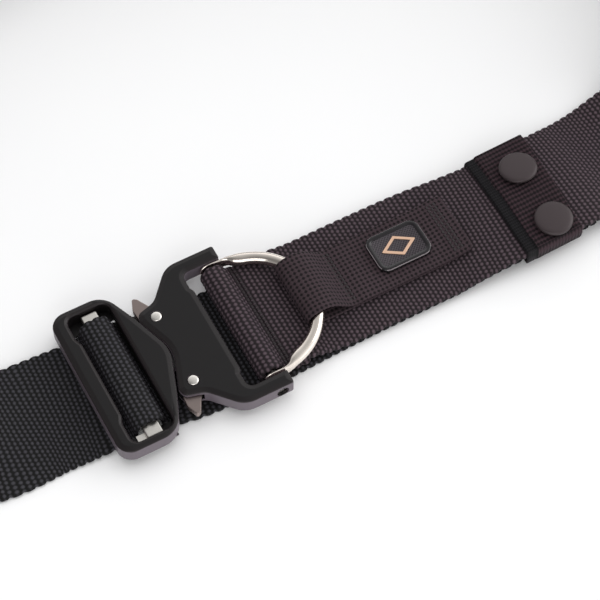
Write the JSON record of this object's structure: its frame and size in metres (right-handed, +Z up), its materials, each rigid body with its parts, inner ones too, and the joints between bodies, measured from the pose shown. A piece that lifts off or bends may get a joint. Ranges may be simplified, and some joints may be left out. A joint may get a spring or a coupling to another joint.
{
  "type": "tactical belt",
  "caption": "Dark webbing belt lying in a loop, with a metal quick-release buckle, a polished ring, a badge on its keeper strap and a snap keeper.",
  "frame": {"origin": "on the surface the belt lies on, under the middle of the buckle", "axes": "+X along the belt's front from the buckle towards the snap keeper, +Y to the inside of the loop, +Z up"},
  "size_m": [0.4132, 0.2358, 0.0496],
  "materials": {
    "belt_webbing": "matte woven",
    "strap_webbing": "matte woven",
    "keeper_webbing": "matte woven",
    "snap_webbing": "matte ribbed",
    "black_anodised": "satin anodised",
    "lever_bronze": "satin",
    "bright_steel": "bright",
    "polished_nickel": "polished",
    "gunmetal_cap": "satin",
    "badge_rubber": "matte moulded",
    "rose_gold": "satin"
  },
  "bodies": {
    "belt": {"main_belt": "belt_webbing", "adjusting_strap": "strap_webbing", "male_frame": "black_anodised", "slide_bar": "bright_steel", "buckle_body": "black_anodised", "rivet_upper": "bright_steel", "rivet_lower": "bright_steel", "cross_bar": "bright_steel", "d_ring": "polished_nickel", "ring_keeper": "keeper_webbing", "badge": "badge_rubber", "badge_mark": "rose_gold", "snap_keeper": "snap_webbing", "snap_cap_upper": "gunmetal_cap", "snap_cap_lower": "gunmetal_cap"},
    "lever_upper": {"release_lever_upper": "lever_bronze"},
    "lever_lower": {"release_lever_lower": "lever_bronze"}
  },
  "joints": [
    {"name": "release_upper", "type": "hinge", "parent": "belt", "child": "lever_upper", "pos_m": [-0.0065, 0.0155, 0.0082], "axis": [0, 0, 1], "range_deg": [0, 10], "stiffness_Nm_per_rad": 0.02},
    {"name": "release_lower", "type": "hinge", "parent": "belt", "child": "lever_lower", "pos_m": [-0.0065, -0.0145, 0.0082], "axis": [0, 0, -1], "range_deg": [0, 10], "stiffness_Nm_per_rad": 0.02}
  ]
}
